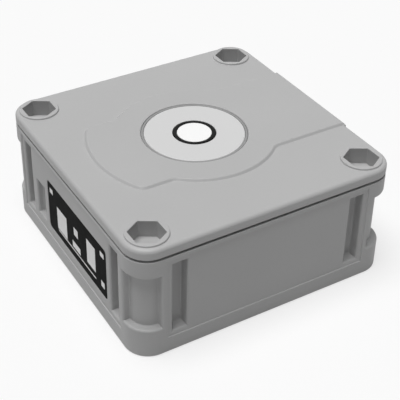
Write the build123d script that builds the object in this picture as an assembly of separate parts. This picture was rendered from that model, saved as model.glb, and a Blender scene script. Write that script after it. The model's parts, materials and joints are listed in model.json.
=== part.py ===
from build123d import *
import math
import os

os.makedirs("parts", exist_ok=True)

# Square ultrasonic sensor in a moulded housing.
# The origin is the centre of the flat base. +Z points the way the sensor looks, +X towards its plug.
# All sizes are in millimetres.

# Closed block
side = 80.0
corner_radius = 7.0
body_height = 31.2
seam_height = 0.7
lid_thickness = 3.0
plateau_rise = 0.7

# Fastening holes through the corners
hole_inset = 7.0
bore_radius = 2.7
tube_wall = 2.3
hex_across_flats = 8.5
hex_seat_depth = 0.65

# Housing walls and edges
wall = 2.6
body_floor = 2.5
base_chamfer = 0.5
rim_bevel = 0.3

# Shallow panel in each side of the housing
panel_recess = 0.3
panel_low = 4.9
panel_top_margin = 1.2
panel_end_margin = 1.6

# Outer pockets that keep the wall thickness even round the screw tubes
fin_step = 0.4
fin_width = 3.2
side_pocket_width = 4.2
side_pocket_depth = 4.4
side_pocket_low = 6.4
side_pocket_top_margin = 2.8
corner_pocket_low = 9.0
corner_pocket_top_margin = 5.3
pocket_backing = 2.0
post_wall = 1.9

# Label window and the blind recess beside it, both in the side at -X
label_low = 8.0
label_height = 16.4
label_margin = 2.3
label_thickness = 0.25
label_sink = 0.35
label_corner = 1.2
label_gap = 0.1
slot_recess_low = 8.0
slot_recess_high = 19.5
slot_recess_width = 5.3
slot_recess_depth = 3.0
slot_recess_margin = 3.4
slot_recess_backing = 1.5
slot_label_wall = 2.5

# Lid
lid_round = 1.1
lid_edge_bevel = 0.3
collar_wall = 0.8
collar_rise = 0.6
collar_bevel = 0.2
boss_wall = 1.4
boss_inset = 1.0
spigot_length = 3.0
spigot_wall = 1.5
spigot_gap = 0.15

# Raised keyhole area of the lid: a ring round the transducer and a band from it to the plug's side
plateau_disc_radius = 23.5
plateau_end_step = 7.3
plateau_width = 34.2
plateau_corner = 3.0
plateau_draft = 40.0

# Seal in the seam
seal_inset = 1.4
seal_gap = 0.3

# Transducer in the middle of the lid
carrier_radius = 14.3
carrier_sink = 0.2
carrier_edge = 0.2
carrier_flange_width = 3.7
carrier_flange_thickness = 1.6
carrier_rim = 1.3
carrier_neck_wall = 2.4
carrier_core_bevel = 1.6
carrier_face_thickness = 2.4
ring_width = 0.8
carrier_seal_sink = 0.35
carrier_seal_flange = 0.9
locating_ring_wall = 1.4
locating_ring_height = 3.0
fit_gap = 0.05
sleeve_wall = 1.2
stack_radius = 4.9
stack_end_space = 1.0
matching_thickness = 2.2
piezo_thickness = 2.0
piezo_inset = 0.2
damping_length = 8.2
cap_thickness = 1.0
cap_skirt = 2.6
cap_wall = 0.8
lead_radius = 0.35
lead_spacing = 4.4
lead_hole_gap = 0.1
lead_tail = 1.5

# Circuit boards
board_margin = 9.4
board_corner = 4.0
board_thickness = 1.6
board_level = 10.0
post_inset = 5.0
board_post_radius = 3.2
pilot_gap = 0.05
pilot_spare = 2.2
screw_shank_radius = 1.0
screw_length = 6.2
screw_head_radius = 2.3
screw_head_height = 1.5
screw_head_bevel = 0.6
screw_hole_gap = 0.4
screw_slot_width = 0.5
screw_slot_depth = 0.8
screw_slot_length = 2.5

# Components on the main board, placed from its edges as (along X, along Y)
chip_size = 10.0
chip_height = 1.4
chip_inset = (13.0, 15.0)
chip_leg_pitch = 1.1
chip_legs_per_side = 7
driver_length = 8.6
driver_width = 3.9
driver_height = 1.5
driver_inset = (12.5, 11.8)
driver_pitch = 6.6
driver_leg_pitch = 1.27
driver_legs_per_side = 4
leg_width = 0.45
leg_thickness = 0.25
leg_reach = 0.9
package_lift = 0.1
package_bevel = 0.2
core_length = 13.0
core_width = 10.0
core_height = 8.4
core_limb = 2.8
core_gap = 0.1
transformer_offset = 6.0
transformer_inset = 11.0
coil_wall = 0.8
can_radius = 3.1
can_height = 7.0
can_round = 0.5
can_groove_depth = 0.3
can_groove_height = 1.6
can_inset = (12.0, 11.0)
can_pitch = 8.0
can_base_margin = 0.2
can_base_height = 0.9
can_base_cut = 1.1
probe_offset = 3.0
probe_inset = 4.0
probe_length = 3.2
probe_width = 1.6
probe_height = 0.9
probe_end = 0.6

# Plug of M12 size in the side at +X
plug_rise = 4.0
plug_radius = 6.0
plug_reach = 12.0
plug_wall = 1.6
plug_flange_width = 2.0
plug_flange_thickness = 1.9
plug_seal_thickness = 0.7
plug_seal_inner_gap = 0.1
plug_tail = 5.6
plug_hole_gap = 0.1
plug_chamfer = 0.6
plug_nut_width = 2.5
plug_nut_thickness = 3.0
insert_depth = 8.5
insert_tail = 1.2
key_width = 1.1
key_height = 0.8
key_length = 6.0
contact_radius = 0.5
contact_inset = 0.9
contact_reach = 7.0
contact_tip = 0.3
contact_hole_gap = 0.05
contact_tail = 0.9

# Upright board behind the plug
plug_board_thickness = 1.6
plug_board_width = 19.0
plug_board_height = 12.4
link_pin_size = 0.6
link_pin_pitch = 3.6
link_pin_count = 5
link_pin_rise = 0.7
link_pin_offset = 1.5
link_pin_tail = 0.8
link_hole_gap = 0.1

# Levels, from the base up
lid_low = body_height + seam_height
lid_top = lid_low + lid_thickness
plateau_top = lid_top + plateau_rise
panel_high = body_height - panel_top_margin
side_pocket_high = body_height - side_pocket_top_margin
corner_pocket_high = body_height - corner_pocket_top_margin
carrier_top = plateau_top - carrier_sink
seal_flange_low = lid_low - carrier_seal_flange
matching_low = carrier_top - matching_thickness
piezo_low = matching_low - piezo_thickness
damping_low = piezo_low - damping_length
carrier_low = damping_low - stack_end_space
board_top = board_level + board_thickness
plug_height = board_top + plug_rise

# Distances from the middle of the block
half = side / 2
inner_half = half - wall
hole_place = half - hole_inset
panel_face = half - panel_recess
fin_outer = hole_place - fin_step
fin_inner = fin_outer - fin_width
pocket_inner = fin_inner - side_pocket_width
slot_recess_end = pocket_inner - slot_recess_margin
slot_recess_start = slot_recess_end - slot_recess_width
label_end = slot_recess_start - slot_label_wall
label_start = label_margin - pocket_inner
board_half = inner_half - board_margin
post_place = board_half - post_inset
plug_board_place = board_half - plug_board_thickness
plug_face = panel_face + plug_seal_thickness
plug_end = half + plug_reach
insert_face = plug_end - insert_depth
insert_back = inner_half - plug_tail - insert_tail
beyond = 5.0

# Radii that belong together
tube_radius = bore_radius + tube_wall
hex_corner_radius = hex_across_flats / math.sqrt(3)
collar_radius = hex_corner_radius + collar_wall
boss_radius = hex_corner_radius + boss_wall
post_radius = boss_radius + post_wall
plateau_end_radius = plateau_disc_radius + plateau_end_step
window_radius = carrier_radius + ring_width
carrier_flange_radius = carrier_radius + carrier_flange_width
sleeve_radius = stack_radius + fit_gap + sleeve_wall
carrier_neck_radius = sleeve_radius + fit_gap + carrier_neck_wall
pilot_radius = screw_shank_radius + pilot_gap
plug_bore_radius = plug_radius - plug_wall
plug_flange_radius = plug_radius + plug_flange_width
contact_circle = plug_bore_radius - contact_inset

corner_signs = [(x, y) for x in (-1, 1) for y in (-1, 1)]
quarter_turns = [0, 90, 180, 270]


def prism(profile, low, high):
    """Straight prism of a flat profile between two heights."""
    return Pos(0, 0, low) * extrude(profile, high - low)


def disc(radius, low, high):
    """Upright round bar on the Z axis."""
    return prism(Circle(radius), low, high)


def turned(points):
    """Solid turned about the Z axis from (radius, height) points."""
    corners = [(radius, 0, height) for radius, height in points]
    face = make_face(Polyline(*corners, close=True))
    return revolve(face, Axis.Z)


def bar(low_corner, high_corner):
    """Square-edged block between two opposite corners."""
    sizes = [high - low for low, high in zip(low_corner, high_corner)]
    middle = [(high + low) / 2 for low, high in zip(low_corner, high_corner)]
    return Pos(*middle) * Box(*sizes)


def at_corners(distance):
    """Places the same distance from both middle planes, one for each corner."""
    return [Pos(x * distance, y * distance) for x, y in corner_signs]


def along_plug(shape):
    """Turns a shape made along +Z so that it lies along the plug's axis."""
    return Pos(0, 0, plug_height) * Rot(0, 90, 0) * shape


def outline(inset=0.0):
    """Outer outline of the block, pulled in by an inset."""
    size = side - 2 * inset
    return RectangleRounded(size, size, corner_radius - inset)


def cavity_profile(gap=0.0):
    """Inner outline of the walls, pulled in by a gap, inside the posts and the pockets' backs."""
    size = 2 * (inner_half - gap)
    profile = Rectangle(size, size)
    back = half - side_pocket_depth - pocket_backing - gap
    start = pocket_inner - pocket_backing - gap
    reach = half - back
    width = hole_place - start
    for turn in quarter_turns:
        for sign in (-1, 1):
            place = Pos(sign * (start + width / 2), back + reach / 2)
            profile -= Rot(0, 0, turn) * place * Rectangle(width, reach)
    for corner in at_corners(hole_place):
        profile -= corner * Circle(post_radius + gap)
    return profile


def hexagon(across_flats):
    """Hexagon with two of its points on the Y direction."""
    return RegularPolygon(across_flats / 2, 6, major_radius=False, rotation=30)


def save(shape, name):
    """Writes one node."""
    export_step(shape, f"parts/{name}.step")


def side_pocket_cutter():
    """The two upright pockets of the side at -Y, which follow the round of the screw tubes."""
    cutter = Part()
    for sign in (-1, 1):
        places = sorted((sign * pocket_inner, sign * fin_inner))
        block = bar(
            (places[0], -half - beyond, side_pocket_low),
            (places[1], -half + side_pocket_depth, side_pocket_high),
        )
        tube = Pos(sign * hole_place, -hole_place) * disc(tube_radius, 0, body_height)
        cutter += block - tube
    return cutter


def panel_cutter():
    """The shallow panel of the side at -Y."""
    reach = fin_outer - panel_end_margin
    low = (-reach, -half - beyond, panel_low)
    high = (reach, -panel_face, panel_high)
    return bar(low, high)


def corner_pocket_cutter():
    """The pocket that leaves the screw tube of the corner at +X +Y open to view between its two fins."""
    block = bar(
        (fin_outer, fin_outer, corner_pocket_low),
        (half + beyond, half + beyond, corner_pocket_high),
    )
    tube = Pos(hole_place, hole_place) * disc(tube_radius, 0, body_height)
    return block - tube


def make_housing():
    """Moulded box with screw tubes, fins, pockets, board posts and the openings of its sides."""
    body = extrude(outline(), body_height)
    body = chamfer(body.faces().sort_by(Axis.Z)[0].edges(), base_chamfer)
    body = chamfer(body.faces().sort_by(Axis.Z)[-1].edges(), rim_bevel)

    for turn in quarter_turns:
        body -= Rot(0, 0, turn) * panel_cutter()
        body -= Rot(0, 0, turn) * side_pocket_cutter()
        body -= Rot(0, 0, turn) * corner_pocket_cutter()

    body -= prism(cavity_profile(), body_floor, body_height + beyond)

    # Backing of the blind recess, then the recess and the label window
    slot_back = slot_recess_depth - half
    body += bar(
        (-inner_half - wall / 2, slot_recess_start - slot_recess_backing, body_floor / 2),
        (
            slot_back + slot_recess_backing,
            slot_recess_end + slot_recess_backing,
            slot_recess_high + slot_recess_backing,
        ),
    )
    body -= bar(
        (-half - beyond, slot_recess_start, slot_recess_low),
        (slot_back, slot_recess_end, slot_recess_high),
    )
    body -= label_shape(label_gap, panel_face - label_sink, half + beyond)

    # Posts for the main board, with pilot holes for its screws
    pilot_low = board_top - screw_length - pilot_spare
    for corner in at_corners(post_place):
        body += corner * disc(board_post_radius, body_floor / 2, board_level)
        body -= corner * disc(pilot_radius, pilot_low, board_level)

    # Bores of the screw tubes, and above them the seats that carry on the lid's hex pockets
    seat = prism(hexagon(hex_across_flats), body_height - hex_seat_depth, body_height + beyond)
    for corner in at_corners(hole_place):
        body -= corner * disc(bore_radius, -beyond, body_height + beyond)
        body -= corner * seat

    plug_hole = disc(plug_radius + plug_hole_gap, insert_back, half + beyond)
    body -= along_plug(plug_hole)
    return body


def label_shape(gap, inner, outer):
    """Slab of the label's outline between two distances on the -X side, widened by a gap."""
    length = label_end - label_start
    profile = RectangleRounded(length + 2 * gap, label_height + 2 * gap, label_corner)
    slab = extrude(profile, outer - inner)
    upright = Rot(0, -90, 0) * Rot(0, 0, 90) * slab
    return Pos(-inner, label_start + length / 2, label_low + label_height / 2) * upright


def make_label():
    """Printed film that lies in its window."""
    inner = panel_face - label_sink
    return label_shape(0.0, inner, inner + label_thickness)


def plateau_profile():
    """Keyhole outline: disc round the transducer, and a band that runs off the lid at +X."""
    band = Rectangle(2 * plateau_end_radius, plateau_width) & Circle(plateau_end_radius)
    strip_length = half + beyond
    strip = Pos(strip_length / 2, 0) * Rectangle(strip_length, plateau_width)
    keyhole = band + strip + Circle(plateau_disc_radius)
    turns = [vertex for vertex in keyhole.vertices() if vertex.X < half]
    return fillet(turns, plateau_corner)


def rounded_plate(top):
    """Lid plate up to a level, with its upper edge rounded and its lower edge bevelled."""
    plate = prism(outline(), lid_low, top)
    plate = fillet(plate.faces().sort_by(Axis.Z)[-1].edges(), lid_round)
    return chamfer(plate.faces().sort_by(Axis.Z)[0].edges(), lid_edge_bevel)


def make_collar():
    """Raised round collar at the mouth of a hex pocket."""
    collar = extrude(Circle(collar_radius), collar_rise)
    return chamfer(collar.faces().sort_by(Axis.Z)[-1].edges(), collar_bevel)


def make_lid():
    """Moulded cover with the raised area, collars, hex pockets, spigot and transducer window."""
    profile = plateau_profile()
    plateau = prism(profile, lid_low + lid_edge_bevel, plateau_top)
    rim = plateau.faces().sort_by(Axis.Z)[-1]
    run = plateau_rise * math.tan(math.radians(plateau_draft))
    plateau = chamfer(rim.edges(), run, plateau_rise, reference=rim)
    lid = rounded_plate(lid_top) + (plateau & rounded_plate(plateau_top))

    # Collars above, and below them the bosses that close the seam round the holes
    inside = prism(outline(boss_inset), body_height, lid_low + lid_thickness / 2)
    for corner in at_corners(hole_place):
        lid += corner * Pos(0, 0, lid_top) * make_collar()
        lid += corner * disc(boss_radius, body_height, lid_low + lid_thickness / 2) & inside

    spigot = cavity_profile(spigot_gap) - cavity_profile(spigot_gap + spigot_wall)
    lid += prism(spigot, lid_low - spigot_length, lid_low + lid_thickness / 2)

    ring_inner = carrier_flange_radius + fit_gap
    ring = Circle(ring_inner + locating_ring_wall) - Circle(ring_inner)
    lid += prism(ring, lid_low - locating_ring_height, lid_low + lid_thickness / 2)

    lid -= disc(window_radius, 0, plateau_top + beyond)
    pocket = prism(hexagon(hex_across_flats), 0, plateau_top + beyond)
    for corner in at_corners(hole_place):
        lid -= corner * pocket
    return lid


def make_lid_seal():
    """Flat seal of the seam, in one closed loop that passes inside the corner bosses."""
    profile = outline(seal_inset) - cavity_profile()
    for corner in at_corners(hole_place):
        profile -= corner * Circle(boss_radius + seal_gap)
    return prism(profile, body_height, lid_low)


def make_transducer_carrier():
    """Round disc with flange and neck, cored out behind its face."""
    core_top = carrier_top - carrier_face_thickness
    core_outer = carrier_radius - carrier_rim
    core_inner = carrier_neck_radius + carrier_core_bevel
    flange_low = seal_flange_low - carrier_flange_thickness
    bore = sleeve_radius + fit_gap
    body = turned(
        [
            (bore, carrier_top),
            (carrier_radius - carrier_edge, carrier_top),
            (carrier_radius, carrier_top - carrier_edge),
            (carrier_radius, seal_flange_low),
            (carrier_flange_radius, seal_flange_low),
            (carrier_flange_radius, flange_low),
            (core_outer, flange_low),
            (core_outer, core_top),
            (core_inner, core_top),
            (carrier_neck_radius, core_top - carrier_core_bevel),
            (carrier_neck_radius, carrier_low),
            (bore, carrier_low),
        ]
    )
    return body


def make_carrier_seal():
    """Soft ring between the carrier and the lid, with a flange that is pinched behind the lid."""
    inner = carrier_radius + fit_gap
    return turned(
        [
            (inner, seal_flange_low),
            (carrier_flange_radius, seal_flange_low),
            (carrier_flange_radius, lid_low),
            (window_radius - fit_gap, lid_low),
            (window_radius - fit_gap, plateau_top - carrier_seal_sink),
            (inner, plateau_top - carrier_seal_sink),
        ]
    )


def make_decoupling_sleeve():
    """Soft sleeve that carries the sounding stack."""
    ring = Circle(sleeve_radius) - Circle(stack_radius + fit_gap)
    return prism(ring, carrier_low, carrier_top)


def lead_holes(radius, low, high):
    """Two round bars at the places of the transducer's pins."""
    bars = Part()
    for sign in (-1, 1):
        bars += Pos(sign * lead_spacing / 2, 0) * disc(radius, low, high)
    return bars


def make_damping_block():
    """Backing of the piezo, with passages for the pins."""
    block = disc(stack_radius, damping_low, piezo_low)
    return block - lead_holes(lead_radius + lead_hole_gap, damping_low, piezo_low)


def make_transducer_cap():
    """Cap over the end of the carrier's neck."""
    inner = carrier_neck_radius + fit_gap
    cap = turned(
        [
            (0, carrier_low - cap_thickness),
            (inner + cap_wall, carrier_low - cap_thickness),
            (inner + cap_wall, carrier_low + cap_skirt),
            (inner, carrier_low + cap_skirt),
            (inner, carrier_low),
            (0, carrier_low),
        ]
    )
    return cap - lead_holes(lead_radius + lead_hole_gap, carrier_low - beyond, carrier_low + beyond)


def make_main_board():
    """Board with its screw holes and the holes of the pins that are soldered into it."""
    size = 2 * board_half
    board = prism(RectangleRounded(size, size, board_corner), board_level, board_top)
    for corner in at_corners(post_place):
        board -= corner * disc(screw_shank_radius + screw_hole_gap, 0, board_top + beyond)
    board -= lead_holes(lead_radius + lead_hole_gap, 0, board_top + beyond)
    for y in link_pin_rows():
        board -= Pos(link_pin_x(), y) * disc(link_hole_radius(), 0, board_top + beyond)
    return board


def make_screw():
    """Pan head screw with a cross recess, its shank pointing down from the board's top."""
    screw = turned(
        [
            (0, -screw_length),
            (screw_shank_radius, -screw_length),
            (screw_shank_radius, 0),
            (screw_head_radius, 0),
            (screw_head_radius, screw_head_height - screw_head_bevel),
            (screw_head_radius - screw_head_bevel, screw_head_height),
            (0, screw_head_height),
        ]
    )
    slot = Box(screw_slot_length, screw_slot_width, 2 * screw_slot_depth)
    cross = Pos(0, 0, screw_head_height) * (slot + Rot(0, 0, 90) * slot)
    return Pos(0, 0, board_top) * (screw - cross)


def package(length, width, height, pitch, legs, sides):
    """Moulded chip body with rows of bent legs, standing on the board."""
    body = prism(Rectangle(length, width), board_top + package_lift, board_top + height)
    body = chamfer(body.faces().sort_by(Axis.Z)[-1].edges(), package_bevel)
    knee = board_top + height / 2
    bend = width / 2 + leg_reach / 2
    foot_top = board_top + leg_thickness
    for side_index in range(sides):
        turn = side_index * 360 / sides
        for index in range(legs):
            x = (index - (legs - 1) / 2) * pitch
            low_x = x - leg_width / 2
            high_x = x + leg_width / 2
            shoulder = bar((low_x, width / 2, knee - leg_thickness), (high_x, bend, knee))
            drop = bar((low_x, bend - leg_thickness, board_top), (high_x, bend, knee))
            foot = bar((low_x, bend, board_top), (high_x, width / 2 + leg_reach, foot_top))
            body += Rot(0, 0, turn) * (shoulder + drop + foot)
    return body


def make_processor_chip():
    chip = package(chip_size, chip_size, chip_height, chip_leg_pitch, chip_legs_per_side, 4)
    return Pos(chip_inset[0] - board_half, board_half - chip_inset[1]) * chip


def make_driver_chips():
    chip = package(driver_length, driver_width, driver_height, driver_leg_pitch, driver_legs_per_side, 2)
    first = Pos(driver_inset[0] - board_half, driver_inset[1] - board_half)
    return [first * Pos(0, index * driver_pitch) * chip for index in range(2)]


def transformer_place():
    """Where the transformer stands on the board."""
    return Pos(transformer_offset, transformer_inset - board_half)


def make_transformer_core():
    """Closed ferrite frame with a middle limb, standing on the board."""
    frame = prism(Rectangle(core_length, core_width), board_top, board_top + core_height)
    window = core_height - core_limb
    opening = bar(
        (-core_length / 2 + core_limb / 2, -core_width, board_top + core_limb / 2),
        (core_length / 2 - core_limb / 2, core_width, board_top + core_limb / 2 + window),
    )
    limb = Pos(0, 0, board_top) * disc(core_limb, 0, core_height)
    return transformer_place() * (frame - opening + limb)


def make_transformer_coil():
    """Bobbin and winding round the middle limb of the core."""
    low = board_top + core_limb / 2 + core_gap
    high = board_top + core_height - core_limb / 2 - core_gap
    inner = core_limb + core_gap
    outer = core_length / 2 - core_limb / 2 - core_gap
    mid = outer - coil_wall
    coil = turned(
        [
            (inner, low),
            (outer, low),
            (outer, low + coil_wall),
            (mid, low + coil_wall),
            (mid, high - coil_wall),
            (outer, high - coil_wall),
            (outer, high),
            (inner, high),
        ]
    )
    return transformer_place() * coil


def can_places():
    """Where the two cans stand on the board."""
    first = Pos(board_half - can_inset[0], board_half - can_inset[1])
    return [first * Pos(-index * can_pitch, 0) for index in range(2)]


def make_storage_capacitors():
    """Round cans, each with a rolled groove above its foot."""
    low = board_top + can_base_height
    high = low + can_height
    groove = low + can_groove_height
    can = turned(
        [
            (0, low),
            (can_radius, low),
            (can_radius, groove - can_groove_depth),
            (can_radius - can_groove_depth, groove),
            (can_radius, groove + can_groove_depth),
            (can_radius, high - can_round),
            (can_radius - can_round, high),
            (0, high),
        ]
    )
    return [place * can for place in can_places()]


def make_capacitor_bases():
    """Square feet of the cans, two corners of each cut off."""
    size = 2 * (can_radius + can_base_margin)
    foot = prism(Rectangle(size, size), board_top, board_top + can_base_height)
    corners = foot.edges().filter_by(Axis.Z).sort_by(Axis.X)[:2]
    foot = chamfer(corners, can_base_cut)
    return [place * foot for place in can_places()]


def make_temperature_sensor():
    """Small chip with two soldered ends."""
    body = prism(Rectangle(probe_length, probe_width), board_top, board_top + probe_height)
    waist = probe_length - 2 * probe_end
    for sign in (-1, 1):
        body -= bar(
            (-waist / 2, sign * probe_width / 2 - package_lift, board_top),
            (waist / 2, sign * probe_width / 2 + package_lift, board_top + probe_height),
        )
    return Pos(-probe_offset, board_half - probe_inset) * body


def link_pin_rows():
    """Places of the angled pins across the boards."""
    return [(index - (link_pin_count - 1) / 2) * link_pin_pitch for index in range(link_pin_count)]


def link_pin_x():
    """Distance of the angled pins' upright legs from the middle of the sensor."""
    return plug_board_place - link_pin_offset


def link_hole_radius():
    """Hole that clears the square section of an angled pin."""
    return link_pin_size / math.sqrt(2) + link_hole_gap


def contact_places():
    """Four contacts on a circle and one in its middle, as (across, up) from the plug's axis."""
    places = [(0.0, 0.0)]
    for quarter in quarter_turns:
        angle = math.radians(quarter + 45)
        places.append((contact_circle * math.cos(angle), contact_circle * math.sin(angle)))
    return places


def contact_bars(radius, low, high):
    """Round bars along the plug's axis at the contacts' places."""
    return [along_plug(Pos(up, across) * disc(radius, low, high)) for across, up in contact_places()]


def make_connector_board():
    """Upright board, pierced by the plug's contacts and the angled pins."""
    board = bar(
        (plug_board_place, -plug_board_width / 2, board_top),
        (plug_board_place + plug_board_thickness, plug_board_width / 2, board_top + plug_board_height),
    )
    for hole in contact_bars(contact_radius + contact_hole_gap, 0, plug_end):
        board -= hole
    for y in link_pin_rows():
        hole = Rot(0, 90, 0) * disc(link_hole_radius(), 0, plug_end)
        board -= Pos(0, y, board_top + link_pin_rise) * hole
    return board


def make_board_link_pins():
    """Angled square pins from the upright board down through the main board."""
    reach = link_pin_size / 2
    level = board_top + link_pin_rise
    pins = []
    for y in link_pin_rows():
        flat = bar(
            (link_pin_x() - reach, y - reach, level - reach),
            (plug_board_place + plug_board_thickness + link_pin_tail, y + reach, level + reach),
        )
        upright = bar(
            (link_pin_x() - reach, y - reach, board_level - link_pin_tail),
            (link_pin_x() + reach, y + reach, level + reach),
        )
        pins.append(flat + upright)
    return pins


def make_connector_shell():
    """Plug body: flange outside the wall, threaded nose and a tail through the wall."""
    nose = plug_radius
    shell = turned(
        [
            (plug_bore_radius, inner_half - plug_tail),
            (nose - plug_chamfer, inner_half - plug_tail),
            (nose, inner_half - plug_tail + plug_chamfer),
            (nose, plug_face),
            (plug_flange_radius - plug_chamfer, plug_face),
            (plug_flange_radius, plug_face + plug_chamfer),
            (plug_flange_radius, plug_face + plug_flange_thickness - plug_chamfer),
            (plug_flange_radius - plug_chamfer, plug_face + plug_flange_thickness),
            (nose, plug_face + plug_flange_thickness),
            (nose, plug_end - plug_chamfer),
            (nose - plug_chamfer, plug_end),
            (plug_bore_radius, plug_end),
        ]
    )
    return along_plug(shell)


def make_connector_insert():
    """Contact carrier inside the shell, with the rib that codes the plug."""
    radius = plug_bore_radius - fit_gap
    insert = disc(radius, insert_back, insert_face)
    rib = bar(
        (-radius, -key_width / 2, insert_face),
        (key_height - radius, key_width / 2, insert_face + key_length),
    )
    insert += rib & disc(radius, insert_back, plug_end)
    insert = along_plug(insert)
    for hole in contact_bars(contact_radius + contact_hole_gap, 0, plug_end):
        insert -= hole
    return insert


def make_connector_pins():
    """Round contacts with rounded tips, soldered into the upright board."""
    low = plug_board_place - contact_tail
    high = insert_face + contact_reach
    pin = turned(
        [
            (0, low),
            (contact_radius, low),
            (contact_radius, high - contact_tip),
            (contact_radius - contact_tip, high),
            (0, high),
        ]
    )
    return [along_plug(Pos(up, across) * pin) for across, up in contact_places()]


def make_connector_seal():
    """Flat ring between the wall and the plug's flange."""
    ring = Circle(plug_flange_radius - plug_chamfer) - Circle(plug_radius + plug_seal_inner_gap)
    return along_plug(prism(ring, panel_face, plug_face))


def make_connector_nut():
    """Thin nut on the plug's tail, against the inside of the wall."""
    profile = hexagon(2 * (plug_radius + plug_nut_width)) - Circle(plug_radius + fit_gap)
    return along_plug(prism(profile, inner_half - plug_nut_thickness, inner_half))


nodes = {
    "housing": make_housing(),
    "lid": make_lid(),
    "lid_seal": make_lid_seal(),
    "label": make_label(),
    "transducer_carrier": make_transducer_carrier(),
    "carrier_seal": make_carrier_seal(),
    "decoupling_sleeve": make_decoupling_sleeve(),
    "matching_layer": disc(stack_radius, matching_low, carrier_top),
    "piezo_disc": disc(stack_radius - piezo_inset, piezo_low, matching_low),
    "damping_block": make_damping_block(),
    "transducer_cap": make_transducer_cap(),
    "transducer_pins": Compound(lead_holes(lead_radius, board_level - lead_tail, piezo_low).solids()),
    "main_board": make_main_board(),
    "board_screws": Compound([corner * make_screw() for corner in at_corners(post_place)]),
    "processor_chip": make_processor_chip(),
    "driver_chips": Compound(make_driver_chips()),
    "transformer_core": make_transformer_core(),
    "transformer_coil": make_transformer_coil(),
    "storage_capacitors": Compound(make_storage_capacitors()),
    "capacitor_bases": Compound(make_capacitor_bases()),
    "temperature_sensor": make_temperature_sensor(),
    "connector_board": make_connector_board(),
    "board_link_pins": Compound(make_board_link_pins()),
    "connector_shell": make_connector_shell(),
    "connector_insert": make_connector_insert(),
    "connector_pins": Compound(make_connector_pins()),
    "connector_seal": make_connector_seal(),
    "connector_nut": make_connector_nut(),
}

for name, shape in nodes.items():
    save(shape, name)
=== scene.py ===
# %% [markdown]
# # A square ultrasonic sensor
#
# The object is a flat square block that measures distance by sound. A moulded box carries a thinner moulded
# lid, a round transducer looks out of the middle of the lid, four hexagonal pockets at the corners take
# nuts or bolt heads, a black label lies in a window of one side, and a threaded plug stands out of another.
#
# The CAD model is the frame: its solids have the true sizes, but most of their small edges are sharp.
# Moulded plastic is read by its edges, because each small round catches a line of light. So the pieces that
# show are made again here as surfaces with those rounds, in the place of the solids, and the hidden ones
# keep the solids.

# %% Load the frame
import json
import math
import bpy
import numpy as np
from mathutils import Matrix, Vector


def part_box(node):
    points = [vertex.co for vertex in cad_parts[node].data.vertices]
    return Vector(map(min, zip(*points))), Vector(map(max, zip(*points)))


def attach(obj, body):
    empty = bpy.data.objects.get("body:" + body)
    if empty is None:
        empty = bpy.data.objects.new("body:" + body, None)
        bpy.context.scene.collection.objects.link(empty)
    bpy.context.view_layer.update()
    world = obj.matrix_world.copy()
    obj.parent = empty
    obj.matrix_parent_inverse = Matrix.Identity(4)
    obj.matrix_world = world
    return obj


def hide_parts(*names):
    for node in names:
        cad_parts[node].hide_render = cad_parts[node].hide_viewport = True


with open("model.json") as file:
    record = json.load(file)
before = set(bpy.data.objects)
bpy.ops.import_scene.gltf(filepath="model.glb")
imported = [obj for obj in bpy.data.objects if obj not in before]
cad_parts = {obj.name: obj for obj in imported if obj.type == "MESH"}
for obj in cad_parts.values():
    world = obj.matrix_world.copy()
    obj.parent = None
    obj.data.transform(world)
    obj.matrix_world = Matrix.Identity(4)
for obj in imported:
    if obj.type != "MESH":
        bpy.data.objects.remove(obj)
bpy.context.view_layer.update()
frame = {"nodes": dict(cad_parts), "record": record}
nodes = frame["nodes"]

# %% [markdown]
# ## A finish is a small network of nodes
#
# A real surface is never one flat colour. Its tone drifts a little over centimetres, its gloss changes with
# handling, and a grain of a tenth of a millimetre breaks up its highlights. Such things could be painted on
# images, but a network of nodes has no resolution and follows any size.
#
# Most of a network is arithmetic. The class below wraps a number that flows through a material, so that a
# mask is written as a plain formula, and each sum or product in it adds its Math node.

# %% Numbers that flow through a material
class Flow:
    """A number in a material. Formulas on it add Math nodes, and its reflected forms allow 1 - mask."""

    def __init__(self, finish, socket):
        self.finish = finish
        self.socket = socket

    def maths(self, operation, *others):
        values = dict(enumerate((self, *others)))
        return self.finish.flow("ShaderNodeMath", {"operation": operation}, values)

    def __add__(self, other):
        return self.maths("ADD", other)

    def __mul__(self, other):
        return self.maths("MULTIPLY", other)

    def __sub__(self, other):
        return self.maths("SUBTRACT", other)

    def __rsub__(self, other):
        return self.finish.flow("ShaderNodeMath", {"operation": "SUBTRACT"}, {0: other, 1: self})

    def __abs__(self):
        return self.maths("ABSOLUTE")

    def __lt__(self, other):
        return self.maths("LESS_THAN", other)

    __radd__ = __add__
    __rmul__ = __mul__


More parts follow.
